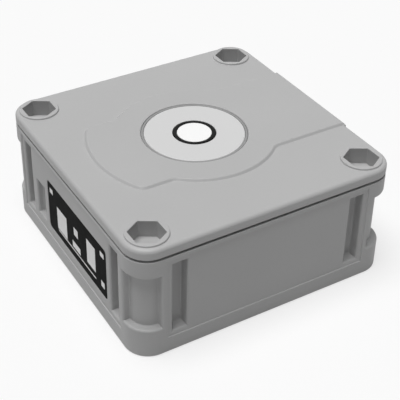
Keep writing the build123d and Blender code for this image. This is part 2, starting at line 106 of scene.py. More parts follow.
# %% A material and the one way to add nodes to it
class Finish:
    """A node material whose constant values are set on its Principled shader when it is made."""

    def __init__(self, name, **constants):
        self.material = bpy.data.materials.new(name)
        self.material.use_nodes = True
        self.tree = self.material.node_tree
        self.shader = self.tree.nodes["Principled BSDF"]
        for socket, value in constants.items():
            self.shader.inputs[socket.replace("_", " ")].default_value = value

    def node(self, kind, settings=None, values=None):
        """Adds a node of any kind: its settings first, then the numbers or links of its inputs."""
        node = self.tree.nodes.new(kind)
        for key, value in (settings or {}).items():
            setattr(node, key, value)
        for key, value in (values or {}).items():
            self.feed(node.inputs[key], value)
        return node

    def feed(self, socket, value):
        """Links a flow to an input, or sets a plain value on it."""
        if isinstance(value, Flow):
            self.tree.links.new(value.socket, socket)
        else:
            socket.default_value = value

    def flow(self, kind, settings=None, values=None, output=0):
        """Adds a node and gives back one of its outputs."""
        return Flow(self, self.node(kind, settings, values).outputs[output])

    def place(self, scale=(1.0, 1.0, 1.0)):
        """Position on the object in millimetres, stretched by a scale along each axis."""
        spot = self.flow("ShaderNodeTexCoord", output="Object")
        factor = tuple(1000 * s for s in scale)
        return self.flow("ShaderNodeVectorMath", {"operation": "MULTIPLY"}, {0: spot, 1: factor})

    def noise(self, size, detail=3.0, scale=(1.0, 1.0, 1.0)):
        """Noise from 0 to 1 whose blobs are about as large as the size in millimetres."""
        values = {"Vector": self.place(scale), "Scale": 0.5 / size, "Detail": detail}
        return self.flow("ShaderNodeTexNoise", None, values)

    def blend(self, amount, first, second):
        """Colour between two colours, which can themselves be flows."""
        pair = {"Factor": amount, 6: first, 7: second}
        return self.flow("ShaderNodeMix", {"data_type": "RGBA"}, pair, output=2)

    def set(self, socket, value):
        self.feed(self.shader.inputs[socket], value)

    def bump(self, height, distance):
        """Feeds a height to the shader's normal. The distance is in millimetres."""
        values = {"Height": height, "Distance": distance / 1000, "Strength": 1.0}
        self.set("Normal", self.flow("ShaderNodeBump", None, values))


def grey(value):
    """Neutral colour."""
    return (value, value, value, 1.0)


def shade(colour, factor):
    """A colour made lighter or darker."""
    return tuple(channel * factor for channel in colour[:3]) + (1.0,)


print("material tools ready")

# %% [markdown]
# ## Surfaces from formulas
#
# Three kinds of form make up the sensor. Round parts are turned: a profile of radius and height goes round
# an axis. Prisms with soft edges are swept: a profile of offset and height is carried along a flat outline.
# And the box is a relief: a depth below its outer skin, given for each place round its sides. All three end
# as a grid of points, rows by columns, so one function can skin them all.
#
# Modelling the same by hand with extrusions and bevels would work too, but a formula keeps each size in one
# place, and a grid has no stray triangles that would disturb a highlight.

# %% From a grid of points to a closed skin
mm = 0.001


def skin(grid, ring=False):
    """Closed skin over a grid of rows by columns. The columns run round and join up. The rows join up too
    for a ring, and otherwise a flat face closes each end. Gives points, four-sided faces and end faces."""
    rows, columns = grid.shape[:2]
    row = np.arange(rows if ring else rows - 1)[:, None]
    column = np.arange(columns)[None, :]
    above = (row + 1) % rows
    beside = (column + 1) % columns
    here = row * columns
    there = above * columns
    corners = (here + column, here + beside, there + beside, there + column)
    quads = np.stack(np.broadcast_arrays(*corners), -1).reshape(-1, 4)
    ends = [] if ring else [np.arange(columns)[::-1], np.arange(columns) + (rows - 1) * columns]
    return grid.reshape(-1, 3), quads, ends


def gather(*shapes):
    """Several closed skins side by side in one shape."""
    offsets = np.cumsum([0] + [len(points) for points, _, _ in shapes[:-1]])
    points = np.concatenate([shape[0] for shape in shapes])
    quads = np.concatenate([shape[1] + offset for shape, offset in zip(shapes, offsets)])
    ends = [end + offset for shape, offset in zip(shapes, offsets) for end in shape[2]]
    return points, quads, ends


def mesh_of(name, shape):
    """Blender mesh of a shape in millimetres."""
    points, quads, ends = shape
    mesh = bpy.data.meshes.new(name)
    mesh.from_pydata(points * mm, [], quads.tolist() + [end.tolist() for end in ends])
    return mesh


# %% Profiles with rounded corners
def rounded(corners, steps=4):
    """Line through (across, up, radius) corners. Each corner with a radius becomes an arc that leaves both of
    its lines at the same distance, radius divided by the tangent of half the angle between them."""
    corners = np.array(corners, dtype=float)
    runs = []
    for index, (across, up, radius) in enumerate(corners):
        here = np.array((across, up))
        if radius == 0:
            runs.append(here[None])
            continue
        before = corners[index - 1, :2] - here
        after = corners[(index + 1) % len(corners), :2] - here
        before /= np.linalg.norm(before)
        after /= np.linalg.norm(after)
        half_angle = math.acos(np.clip(before @ after, -1, 1)) / 2
        towards = (before + after) / np.linalg.norm(before + after)
        middle = here + towards * radius / math.sin(half_angle)
        start = here + before * radius / math.tan(half_angle) - middle
        stop = here + after * radius / math.tan(half_angle) - middle
        first = math.atan2(start[1], start[0])
        turn = (math.atan2(stop[1], stop[0]) - first + math.pi) % (2 * math.pi) - math.pi
        angles = first + turn * np.linspace(0, 1, steps + 1)
        runs.append(middle + radius * np.stack((np.cos(angles), np.sin(angles)), -1))
    return np.concatenate(runs)


# %% Turned and swept forms
def turned(profile, centre=(0.0, 0.0), columns=96, ring=False):
    """Profile of (radius, height) carried round an upright axis: x and y are the radius times the cosine and
    the sine of the angle. The profile climbs on its outside, so that the skin faces out."""
    profile = np.asarray(profile, dtype=float)
    angle = np.linspace(0, 2 * math.pi, columns, endpoint=False)
    radius = profile[:, :1]
    height = np.broadcast_to(profile[:, 1:2], (len(profile), columns))
    x = centre[0] + radius * np.cos(angle)
    y = centre[1] + radius * np.sin(angle)
    return skin(np.stack((x, y, height), -1), ring)


def mitres(outline):
    """Direction and length by which each point of a closed outline moves for an outward step of one."""
    along = np.roll(outline, -1, axis=0) - outline
    along /= np.linalg.norm(along, axis=1, keepdims=True)
    out = np.stack((along[:, 1], -along[:, 0]), -1)
    before = np.roll(out, 1, axis=0)
    return (out + before) / (1 + np.sum(out * before, axis=1, keepdims=True))


def swept(outline, profile):
    """Profile of (outward offset, height) carried along a closed flat outline that runs anticlockwise: each
    point moves along its mitre by the offset and takes the height."""
    outline = np.asarray(outline, dtype=float)
    profile = np.asarray(profile, dtype=float)
    flat = outline[None] + mitres(outline)[None] * profile[:, None, :1]
    height = np.broadcast_to(profile[:, None, 1:2], flat.shape[:2] + (1,))
    return skin(np.concatenate((flat, height), -1))


# %% Joining and cutting
def combined(first, second, operation):
    """One mesh from two closed meshes, by the exact Boolean: UNION, DIFFERENCE or INTERSECT."""
    holder = bpy.data.objects.new("holder", first)
    tool = bpy.data.objects.new("tool", second)
    for thing in (holder, tool):
        bpy.context.scene.collection.objects.link(thing)
    modifier = holder.modifiers.new("combine", "BOOLEAN")
    modifier.operation = operation
    modifier.solver = "EXACT"
    modifier.object = tool
    graph = bpy.context.evaluated_depsgraph_get()
    outcome = bpy.data.meshes.new_from_object(holder.evaluated_get(graph))
    for thing in (holder, tool):
        bpy.data.objects.remove(thing)
    return outcome


# %% A finished piece
def add_piece(name, mesh, finish, node):
    """Object with smooth shading that breaks at real edges. The wide faces decide the shading, so that the
    flats stay flat beside their small rounds. It stands for a CAD node and rides on the body."""
    mesh.name = name
    mesh.materials.clear()
    mesh.materials.append(finish.material)
    mesh.shade_smooth()
    mesh.set_sharp_from_angle(angle=math.radians(35))
    piece = bpy.data.objects.new(name, mesh)
    bpy.context.scene.collection.objects.link(piece)
    evened = piece.modifiers.new("even shading", "WEIGHTED_NORMAL")
    evened.keep_sharp = True
    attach(piece, "root")
    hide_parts(node)
    print(name, "faces:", len(mesh.polygons))
    return piece


# %% [markdown]
# ## Moulded plastic
#
# Box and lid are moulded in a light grey technical plastic with a fine matt grain, etched into the mould.
# Its tone is even, apart from slow drifts where the melt flowed, and a faint shine where hands rub it. One
# function makes the family of plastics, because box, lid and transducer disc differ only in tone and gloss.
#
# The grain has two sizes. The fine one is a tenth of a millimetre and only dulls the highlights in a normal
# view. The other is some millimetres wide and a few hundredths deep: a moulded flat is never optically
# flat, and this slight wave keeps large faces from looking computed.

# %% The plastic family
def moulded_plastic(name, colour, gloss, grain=0.012, drift=0.05):
    """Satin plastic: colour drift in two sizes, gloss that follows handling, grain and a slight wave."""
    finish = Finish(name, IOR=1.5)
    cloud = finish.noise(14.0, 2.0)
    speck = finish.noise(0.5, 2.0)
    tone = cloud * 0.7 + speck * 0.3
    finish.set("Base Color", finish.blend(tone, shade(colour, 1 - drift), shade(colour, 1 + drift)))
    finish.set("Roughness", gloss + finish.noise(5.0, 3.0) * 0.12)
    finish.bump(finish.noise(0.12, 2.0) * grain + finish.noise(6.0, 1.0) * 0.03, 1.0)
    return finish


housing_finish = moulded_plastic("housing_plastic", grey(0.43), 0.46)
lid_finish = moulded_plastic("lid_plastic", grey(0.45), 0.44)
carrier_finish = moulded_plastic("carrier_plastic", grey(0.66), 0.4, grain=0.006, drift=0.02)
print("plastics ready")

# %% [markdown]
# ## The box, a relief round four sides
#
# A mould maker keeps a wall equally thick everywhere, because a thick spot sinks and a thin one stays
# short. Where the screw tubes stand in the corners, the material between tube and outside is therefore
# taken away: deep upright pockets beside each corner, and a shallow one round the corner itself, with thin
# fins between them. Each side also has a shallow panel, and the label's side a window and a blind recess.
#
# All of it is depth below one smooth skin, so the box is one grid: the columns go round the rounded square
# and the rows climb from the base to the rim. Each hollow has the same kind of edge, a small round over the
# lip, a steep wall with draft, and a fillet into its floor. The lines of the grid crowd together at those
# edges.

# %% Sizes of the box
half = round(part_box("housing")[1][0] * 1000, 3)
body_height = round(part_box("housing")[1][2] * 1000, 3)
corner_radius = 7.0
straight = half - corner_radius
hole_place = 33.0
panel_depth = 0.3
base_round = 0.5
rim_round = 0.3
print("box:", 2 * half, "mm square,", body_height, "mm high")

# %% The edge that every hollow shares
wall_run = 0.06


def hollow_depth(inside, depth, lip, fillet, run=wall_run):
    """Depth of a hollow at a distance inside its edge: lip minus the root of lip squared minus distance
    squared over the lip, then a straight drop over the run, then the root for the fillet."""
    over = lip - np.sqrt(lip**2 - np.clip(inside + lip, 0, lip) ** 2)
    wall = (depth - lip - fillet) * np.clip(inside / run, 0, 1)
    into = np.sqrt(fillet**2 - np.clip(run + fillet - inside, 0, fillet) ** 2)
    return over + wall + into


def edge_lines(lip, fillet, run=wall_run):
    """Distances inside an edge at which the grid needs a line."""
    bend = np.radians((30, 60, 90))
    over = lip * (np.sin(np.radians((0, 30, 60, 90))) - 1)
    return np.concatenate((over, [run], run + fillet * (1 - np.cos(bend))))


# %% The hollows of the sides
# Each one is: sides it is on, low and high place along the side, low and high level, depth, lip, fillet.
# The sides count round from the front: 0 front, 1 plug, 2 back, 3 label. What lies inside the panel gives its
# depth below the panel. The corner pocket is: start along the side, low and high level, depth, lip, fillet.
every_side = (0, 1, 2, 3)
panel = (every_side, -31.0, 31.0, 4.9, 30.0, panel_depth, 0.12, 0.12)
pocket_start = 25.2
pocket_end = 29.4
near_pocket = (every_side, -pocket_end, -pocket_start, 6.4, 28.4, 3.3 - panel_depth, 0.6, 0.5)
far_pocket = (every_side, pocket_start, pocket_end, 6.4, 28.4, 3.3 - panel_depth, 0.6, 0.5)
blind_recess = ((3,), -21.8, -16.5, 8.0, 19.5, 2.0 - panel_depth, 0.5, 0.5)
label_window = ((3,), -14.1, 23.0, 7.9, 24.5, 0.35, 0.1, 0.1)
hollows = [panel, near_pocket, far_pocket, blind_recess, label_window]
corner_pocket = (32.6, 9.0, 25.9, 2.0, 0.6, 0.35)
window_corner = 1.2
window_run = 0.12
least_step = 0.012

# %% Columns of the grid, once round the block
def side_columns(side):
    """Places along one side, from one corner's arc to the next."""
    lines = [np.array((-straight, straight))]
    for sides, low, high, _, _, _, lip, fillet in hollows:
        if side in sides:
            offsets = edge_lines(lip, fillet)
            lines += [low + offsets, high - offsets]
    start, _, _, _, lip, fillet = corner_pocket
    lines += [start + edge_lines(lip, fillet), -start - edge_lines(lip, fillet)]
    if side in label_window[0]:
        bend = np.linspace(0, window_corner, 9)
        lines += [label_window[1] + bend, label_window[2] - bend]
    places = np.unique(np.round(np.concatenate(lines), 3))
    places = places[np.abs(places) <= straight]
    keep = np.concatenate(([True], np.diff(places) > least_step))
    return places[keep]


def round_the_block(arc_steps=18):
    """For each column: point on the outer skin, outward direction, side, place along it, distance inside the
    corner pocket. A side gives its own straight run, and after it comes the arc of the next corner."""
    points, outward, sides, places, in_corner = [], [], [], [], []
    for side in every_side:
        angle = side * math.pi / 2
        along = np.array((math.cos(angle), math.sin(angle)))
        out = np.array((math.sin(angle), -math.cos(angle)))
        run = side_columns(side)
        points.append(run[:, None] * along + half * out)
        outward.append(np.broadcast_to(out, (len(run), 2)))
        bend = np.linspace(0, math.pi / 2, arc_steps + 1)[1:-1]
        fan = np.cos(bend)[:, None] * out + np.sin(bend)[:, None] * along
        points.append(straight * (along + out) + corner_radius * fan)
        outward.append(fan)
        sides.append(np.full(len(run) + len(bend), side))
        places += [run, np.full(len(bend), np.inf)]
        reach = straight - corner_pocket[0] + corner_radius * np.minimum(bend, math.pi / 2 - bend)
        in_corner += [np.abs(run) - corner_pocket[0], reach]
    joined = (np.concatenate(part) for part in (points, outward, sides, places, in_corner))
    return tuple(joined)


skin_points, skin_out, column_side, column_place, column_corner = round_the_block()
print("columns:", len(column_side))

# %% Rows of the grid, from the base to the rim
def levels():
    """Heights at which the grid has a row."""
    bend = np.radians(np.linspace(0, 90, 5))
    lines = [base_round * (1 - np.cos(bend)), body_height - rim_round * (1 - np.cos(bend))]
    for _, _, _, low, high, _, lip, fillet in hollows:
        lines += [low + edge_lines(lip, fillet), high - edge_lines(lip, fillet)]
    _, low, high, _, lip, fillet = corner_pocket
    lines += [low + edge_lines(lip, fillet), high - edge_lines(lip, fillet)]
    turn = np.linspace(0, window_corner, 9)
    lines += [label_window[3] + turn, label_window[4] - turn]
    heights = np.unique(np.round(np.concatenate(lines), 3))
    keep = np.concatenate(([True], np.diff(heights) > least_step))
    return heights[keep]


row_height = levels()
print("rows:", len(row_height))

# %% The depth of every point
def relief():
    """Depth below the outer skin for rows by columns: the sum of all hollows, each by its own distance to
    the nearest of its four edges, and of the rounds at the base and the rim."""
    height = row_height[:, None]
    place = column_place[None, :]
    low_round = base_round - np.sqrt(base_round**2 - np.clip(base_round - height, 0, base_round) ** 2)
    climb = np.clip(height - body_height + rim_round, 0, rim_round)
    high_round = rim_round - np.sqrt(rim_round**2 - climb**2)
    depth = low_round + high_round + np.zeros_like(place)
    for hollow in hollows:
        sides, low, high, bottom, top, deep, lip, fillet = hollow
        across = np.minimum(place - low, high - place)
        up = np.minimum(height - bottom, top - height)
        inside = np.minimum(across, up)
        run = wall_run
        if hollow is label_window:
            reach = np.hypot(np.clip(window_corner - across, 0, None), np.clip(window_corner - up, 0, None))
            inside = np.where((across < window_corner) & (up < window_corner), window_corner - reach, inside)
            run = window_run
        there = np.isin(column_side, sides)[None, :] & np.isfinite(place)
        depth = depth + np.where(there, hollow_depth(inside, deep, lip, fillet, run), 0)
    _, bottom, top, deep, lip, fillet = corner_pocket
    inside = np.minimum(column_corner[None, :], np.minimum(height - bottom, top - height))
    return depth + hollow_depth(inside, deep, lip, fillet)


with np.errstate(invalid="ignore"):
    skin_depth = relief()
print("deepest hollow:", round(float(skin_depth.max()), 2), "mm")

# %% The outer skin as one closed form
flat_points = skin_points[None] - skin_out[None] * skin_depth[..., None]
row_levels = np.broadcast_to(row_height[:, None, None], flat_points.shape[:2] + (1,))
box_outside = mesh_of("box_outside", skin(np.concatenate((flat_points, row_levels), -1)))
print("outer skin faces:", len(box_outside.polygons))

# %% [markdown]
# ## The inside of the box
#
# The wall follows the pockets and the screw tubes, and four posts carry the circuit board. A thickness
# could be given to the skin by a modifier, but then the inside would copy each small edge of the outside.
# The real core of the mould is one plain block with notches, so the same is done here: the block's outline
# is swept, posts and the recess's backing are taken out of it, and the outcome is cut out of the box.

# %% Outline of the mould's core
inner_half = half - 2.6
wall = 2.0
solid_pocket_depth = 4.4
pocket_back = half - solid_pocket_depth - wall
notch_start = pocket_start - wall
post_radius = 8.207


def core_outline(gap=0.0):
    """Inside of the walls, pulled in by a gap: for each corner a notch for the pockets' backs, and an arc
    round the screw tube from one notch to the other."""
    reach = inner_half - gap
    back = pocket_back - gap
    start = notch_start - gap
    radius = post_radius + gap
    first = math.atan2(-math.sqrt(radius**2 - (hole_place - back) ** 2), back - hole_place)
    angles = np.linspace(first, -1.5 * math.pi - first, 17)
    arc = hole_place + radius * np.stack((np.cos(angles), np.sin(angles)), -1)
    corner = np.concatenate(([(reach, start), (back, start)], arc, [(start, back), (start, reach)]))
    turns = [np.array([(0, 1), (-1, 0)]), np.array([(-1, 0), (0, -1)]), np.array([(0, -1), (1, 0)])]
    return np.concatenate([corner] + [corner @ turn for turn in turns])


# %% Core, posts and backing
corner_signs = [(-1, -1), (1, -1), (1, 1), (-1, 1)]
body_floor = 2.5
board_level = 10.0
post_place = 23.0
core = mesh_of("core", swept(core_outline(), [(0, body_floor), (0, body_height + 5)]))
post = [(3.2, 1.0), (3.2, board_level)]
posts = [turned(post, (x * post_place, y * post_place), 32) for x, y in corner_signs]
backing = [(-45.0, 15.0), (-35.5, 15.0), (-35.5, 23.3), (-45.0, 23.3)]
posts.append(swept(backing, [(0, 1.0), (0, 21.0)]))
core = combined(core, mesh_of("posts", gather(*posts)), "DIFFERENCE")

# %% Bores, nut seats, pilot holes and the plug's hole
def along_plug(shape, plug_height=15.6):
    """Lays a form made along the upright axis down along the plug's axis."""
    points, quads, ends = shape
    turned_down = np.stack((points[:, 2], points[:, 1], plug_height - points[:, 0]), -1)
    return turned_down, quads, ends


bore_radius = 2.7
hex_across = 8.5
hex_corner = hex_across / math.sqrt(3)
hex_turns = np.radians(range(0, 360, 60))
hexagon = [(hex_corner * math.sin(turn), -hex_corner * math.cos(turn), 0.35) for turn in hex_turns]
hexagon = rounded(hexagon, 3)
seat_level = body_height - 0.65
bore = [(bore_radius, -1), (bore_radius, seat_level + 0.2)]
pilot = [(1.05, 3.2), (1.05, board_level + 1)]
drills = []
for x, y in corner_signs:
    hole = (x * hole_place, y * hole_place)
    drills.append(swept(hexagon + hole, [(0, seat_level), (0, body_height + 2)]))
    drills.append(turned(bore, hole, 48))
    drills.append(turned(pilot, (x * post_place, y * post_place), 24))
plug_hole = [(6.1, 30.6), (6.1, half + 3)]
drills.append(along_plug(turned(plug_hole, columns=64)))
box = combined(box_outside, core, "DIFFERENCE")
box = combined(box, mesh_of("drills", gather(*drills)), "DIFFERENCE")
add_piece("moulded_box", box, housing_finish, "housing")

# %% [markdown]
# ## The lid
#
# The lid is a plate with a generous round along its upper edge. A keyhole-shaped area stands seven tenths
# of a millimetre proud of it: a ring round the transducer, and a band that runs off one side. Round collars
# lift the mouths of the hex pockets, so that a tool finds them.
#
# Each of these is a swept or a turned form with its own edge profile, and the union of them is the lid. A
# relief over the top would be possible as well, but the hexagons and circles would cut across its grid.

# %% Outlines of the lid
def rounded_square(reach, radius, steps=16):
    """Anticlockwise outline of a square with round corners."""
    angles = np.linspace(0, math.pi / 2, steps + 1)
    inner = reach - radius
    arcs = []
    for quarter, (x, y) in zip((2, 3, 0, 1), corner_signs):
        turn = angles + quarter * math.pi / 2
        arcs.append(np.stack((x * inner + radius * np.cos(turn), y * inner + radius * np.sin(turn)), -1))
    return np.concatenate(arcs)


def arc(radius, first, last, steps):
    """Points on a circle about the middle, between two angles."""
    angles = np.linspace(first, last, steps)
    return radius * np.stack((np.cos(angles), np.sin(angles)), -1)


disc_radius = 23.5
end_radius = 30.8
band_half = 17.1
corner_turn = 3.0
beyond = half + 4


def keyhole():
    """Anticlockwise outline of the raised area. Each corner turns on a small circle: it lies outside the disc
    where band and disc meet, and inside the band where the band meets the far end. Its middle follows from
    its distance to the band's edge and to the disc's or the end's middle."""
    out_up = band_half + corner_turn
    out_x = math.sqrt((disc_radius + corner_turn) ** 2 - out_up**2)
    disc_angle = math.atan2(out_up, out_x)
    in_up = band_half - corner_turn
    in_x = -math.sqrt((end_radius - corner_turn) ** 2 - in_up**2)
    end_angle = math.atan2(in_up, in_x)
    right_angle = math.pi / 2
    upper = [
        [(beyond, band_half)],
        arc(corner_turn, -right_angle, disc_angle - math.pi, 7) + (out_x, out_up),
        arc(disc_radius, disc_angle, math.pi - disc_angle, 37)[1:-1],
        arc(corner_turn, -disc_angle, -right_angle, 7) + (-out_x, out_up),
        arc(corner_turn, right_angle, end_angle, 7) + (in_x, in_up),
    ]
    upper = np.concatenate(upper)
    far = arc(end_radius, end_angle, 2 * math.pi - end_angle, 25)[1:-1]
    return np.concatenate((upper, far, upper[::-1] * (1, -1)))


# %% Plate and raised area
lid_low = body_height + 0.7
lid_top = lid_low + 3.0
plateau_top = round(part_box("lid")[1][2] * 1000, 3)
lid_round = 1.1


def plate(top):
    """Lid plate up to a level: small round below, large one above."""
    corners = [(-1, lid_low, 0), (0, lid_low, 0.3), (0, top, lid_round), (-2, top, 0)]
    return mesh_of("plate", swept(rounded_square(half, corner_radius), rounded(corners, 6)[1:-1]))


draft = math.radians(40)
slope = (plateau_top - lid_top) * math.tan(draft)
foot = [(1, lid_top, 0), (0, lid_top, 0.35), (-slope, plateau_top, 0.5), (-2, plateau_top, 0)]
foot = rounded(foot, 4)[1:-1]
raised_profile = np.concatenate(([(foot[0, 0], lid_low + 1)], foot))
raised = combined(mesh_of("raised", swept(keyhole(), raised_profile)), plate(plateau_top), "INTERSECT")
lid = combined(plate(lid_top), raised, "UNION")
print("plate and raised area:", len(lid.polygons), "faces")

# %% Collars, bosses, spigot and locating ring
collar_radius = hex_corner + 0.8
collar_top = lid_top + 0.6
collar_corners = [(8, lid_top, 0), (collar_radius, lid_top, 0.19)]
collar_corners += [(collar_radius, collar_top, 0.25), (4, collar_top, 0)]
collar_profile = rounded(collar_corners, 4)[1:-1]
collar_profile = np.concatenate(([(collar_profile[0, 0], lid_low + 1)], collar_profile))
collars = [turned(collar_profile, (x * hole_place, y * hole_place), 72) for x, y in corner_signs]
lid = combined(lid, mesh_of("collars", gather(*collars)), "UNION")


def boss(x, y):
    """Boss under a collar: a circle that stays one millimetre inside the lid's outline."""
    angle = np.linspace(0, 2 * math.pi, 64, endpoint=False)
    across, up = x * np.cos(angle), y * np.sin(angle)
    outward = np.maximum(across, up)
    room = half - 1.0 - hole_place
    limit = np.where((across > 0) & (up > 0), room, room / np.maximum(outward, 0.01))
    radius = np.minimum(hex_corner + 1.4, limit)
    rim = np.stack((x * hole_place + radius * np.cos(angle), y * hole_place + radius * np.sin(angle)), -1)
    return swept(rim, [(0, body_height), (0, lid_low + 1)])


def spigot(low, high):
    """Wall that reaches down inside the box: the core's outline twice, at two gaps."""
    rows = [(0.15, low), (0.15, high), (1.65, high), (1.65, low)]
    walls = [np.insert(core_outline(gap), 2, level, axis=1) for gap, level in rows]
    return skin(np.stack(walls), ring=True)


reach_down = lid_low - 3
into_plate = lid_low + 1
locating_inner = 18.05
locating_outer = locating_inner + 1.4
ring_profile = [(locating_inner, reach_down), (locating_outer, reach_down)]
ring_profile += [(locating_outer, into_plate), (locating_inner, into_plate)]
under = [boss(x, y) for x, y in corner_signs]
under += [spigot(reach_down, into_plate), turned(ring_profile, ring=True)]
lid = combined(lid, mesh_of("under", gather(*under)), "UNION")

# %% Hex pockets and the transducer's window
def mouth(top, lip):
    """Profile of a cutter whose opening flares by a quarter round at the top."""
    bend = np.radians(np.linspace(0, 90, 5))
    flare = np.stack((lip * (1 - np.cos(bend)), top - lip + lip * np.sin(bend)), -1)
    return np.concatenate(([(0, 20)], flare, [(lip, plateau_top + 3)]))


window_radius = 15.1
window_profile = mouth(plateau_top, 0.35) + (window_radius, 0)
pocket_profile = mouth(collar_top, 0.22)
cutters = [swept(hexagon + (x * hole_place, y * hole_place), pocket_profile) for x, y in corner_signs]
cutters.append(turned(window_profile, columns=128))
lid = combined(lid, mesh_of("cutters", gather(*cutters)), "DIFFERENCE")
add_piece("moulded_lid", lid, lid_finish, "lid")

# %% [markdown]
# ## Transducer
#
# A light disc sits in the window, sealed by a thin rubber ring. In its middle a soft black sleeve holds the
# sounding stack, and its rounded top stands a little above the disc. The stack's white face is a resin full
# of tiny hollow spheres: it passes the sound from the hard ceramic to the thin air. All of these are turned
# parts, and the soft ones have rounder edges than the hard.

# %% Rubbers and the white face
def rubber(name, colour, roughness, sheen=0.5):
    """Matt rubber: bloom that lightens it in patches, and a soft grain. The sheen is the strength of its
    reflections."""
    finish = Finish(name, IOR=1.5, Specular_IOR_Level=sheen)
    bloom = finish.noise(3.0, 3.0)
    finish.set("Base Color", finish.blend(bloom, shade(colour, 0.8), shade(colour, 1.25)))
    finish.set("Roughness", roughness + bloom * 0.15)
    finish.bump(finish.noise(0.2, 2.0), 0.01)
    return finish


ring_finish = rubber("ring_rubber", grey(0.29), 0.6)
sleeve_finish = rubber("sleeve_rubber", grey(0.004), 0.5, sheen=0.12)
seal_finish = rubber("seal_rubber", grey(0.06), 0.6)
face_finish = moulded_plastic("matching_resin", (0.97, 0.97, 0.965, 1), 0.5, grain=0.02, drift=0.01)
print("rubbers and white resin ready")

# %% Carrier, ring, sleeve and face
carrier_top = round(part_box("transducer_carrier")[1][2] * 1000, 3)
carrier_low = round(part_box("transducer_carrier")[0][2] * 1000, 3)
carrier_radius = 14.3
flange_radius = 18.0
flange_top = lid_low - 0.9
neck_radius = 8.6
carrier_bore = 6.2
core_top = carrier_top - 2.4
carrier_profile = rounded(
    [
        (carrier_bore, carrier_low, 0),
        (neck_radius, carrier_low, 0.3),
        (neck_radius, core_top - 1.6, 0),
        (neck_radius + 1.6, core_top, 0),
        (carrier_radius - 1.3, core_top, 0),
        (carrier_radius - 1.3, flange_top - 1.6, 0),
        (flange_radius, flange_top - 1.6, 0),
        (flange_radius, flange_top, 0),
        (carrier_radius, flange_top, 0),
        (carrier_radius, carrier_top, 0.3),
        (carrier_bore, carrier_top, 0.15),
    ]
)
carrier = mesh_of("carrier", turned(carrier_profile, columns=128, ring=True))
add_piece("transducer_disc", carrier, carrier_finish, "transducer_carrier")

# %% The soft parts and the white face
seal_top = plateau_top - 0.2
ring_inner = carrier_radius + 0.05
ring_outer = window_radius - 0.05
seal_corners = [(ring_inner, flange_top, 0), (flange_radius, flange_top, 0), (flange_radius, lid_low, 0)]
seal_corners += [(ring_outer, lid_low, 0), (ring_outer, seal_top, 0.2), (ring_inner, seal_top, 0.2)]
ring_mesh = mesh_of("ring", turned(rounded(seal_corners), columns=128, ring=True))
add_piece("disc_seal_ring", ring_mesh, ring_finish, "carrier_seal")

bead_top = carrier_top + 0.18
face_radius = 4.9
sleeve_inner = face_radius + 0.05
sleeve_outer = carrier_bore - 0.05
sleeve_corners = [(sleeve_inner, carrier_low, 0), (sleeve_outer, carrier_low, 0)]
sleeve_corners += [(sleeve_outer, bead_top, 0.5), (sleeve_inner, bead_top, 0.5)]
sleeve_mesh = mesh_of("sleeve", turned(rounded(sleeve_corners), columns=96, ring=True))
add_piece("soft_sleeve", sleeve_mesh, sleeve_finish, "decoupling_sleeve")

face_low = carrier_top - 2.2
face_corners = [(4.8, face_low, 0), (face_radius, face_low, 0)]
face_corners += [(face_radius, carrier_top, 0.12), (4, carrier_top, 0)]
face_mesh = mesh_of("face", turned(rounded(face_corners)[:-1], columns=96))
add_piece("white_face", face_mesh, face_finish, "matching_layer")

# %% [markdown]
# ## Label
#
# The label is a thin black film with white print, in a window that protects its edge. Its print is only
# made of plain shapes here: blocks, a rule and small squares. Since they are flat ink, they belong in the
# material: each shape is a mask, which is one where a place along the side and a height both lie between
# two limits.

# %% Film with printed shapes
label_finish = Finish("label_film", IOR=1.4, Specular_IOR_Level=0.03)
spot = label_finish.node("ShaderNodeSeparateXYZ", None, {0: label_finish.place()})
along = Flow(label_finish, spot.outputs[1])
level = Flow(label_finish, spot.outputs[2])


def block(y, z, width, height):
    """Mask of an upright block about a middle place and height."""
    return (abs(along - y) < width / 2) * (abs(level - z) < height / 2)


blocks = [(5.0, 14.8, 6.4, 7.4), (-13.6, 16.6, 5.2, 8.0), (-4.2, 10.6, 24.0, 0.5), (-4.2, 12.6, 5.0, 2.2)]
blocks += [(-4.2, 17.6, 2.6, 2.6), (11.6, 21.6, 2.0, 1.6), (-20.4, 21.6, 2.2, 1.6), (-20.4, 11.6, 2.0, 2.0)]
ink = block(*blocks[0])
for shape in blocks[1:]:
    ink = ink + block(*shape)
wear = label_finish.noise(1.2, 3.0)
label_finish.set("Base Color", label_finish.blend(ink.maths("MINIMUM", 1.0), grey(0.002), grey(0.97)))
label_finish.set("Roughness", 0.5 + wear * 0.12 + ink * 0.08)
label_finish.bump(label_finish.noise(2.5, 2.0) * 0.02 + ink * 0.004, 1.0)

# %% The film itself
label_low, label_high = (np.array(corner) * 1000 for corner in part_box("label"))
film = label_high - label_low
film_outline = rounded_square(film[1] / 2, window_corner, 8)
film_outline[:, 1] -= np.sign(film_outline[:, 1]) * (film[1] - film[2]) / 2
film_profile = rounded([(0, 0, 0), (0, film[0], 0.08), (-1, film[0], 0)])[:-1]
film_points, film_quads, film_ends = swept(film_outline, film_profile)
film_middle = (label_low + label_high) / 2
out = label_high[0] - film_points[:, 2]
film_points = np.stack((out, film_middle[1] - film_points[:, 0], film_middle[2] + film_points[:, 1]), -1)
label_mesh = mesh_of("film", (film_points, film_quads, film_ends))
add_piece("label_film_sheet", label_mesh, label_finish, "label")

# %% [markdown]
# ## Plug
#
# The plug's shell is turned brass with a nickel coat. Its nose carries a fine thread of one millimetre
# pitch. A thread could be an array of rings, but rings don't advance. Here the radius of the turned form
# depends on height and angle together, so the groove climbs by one pitch in each turn, and it fades out at
# both ends.

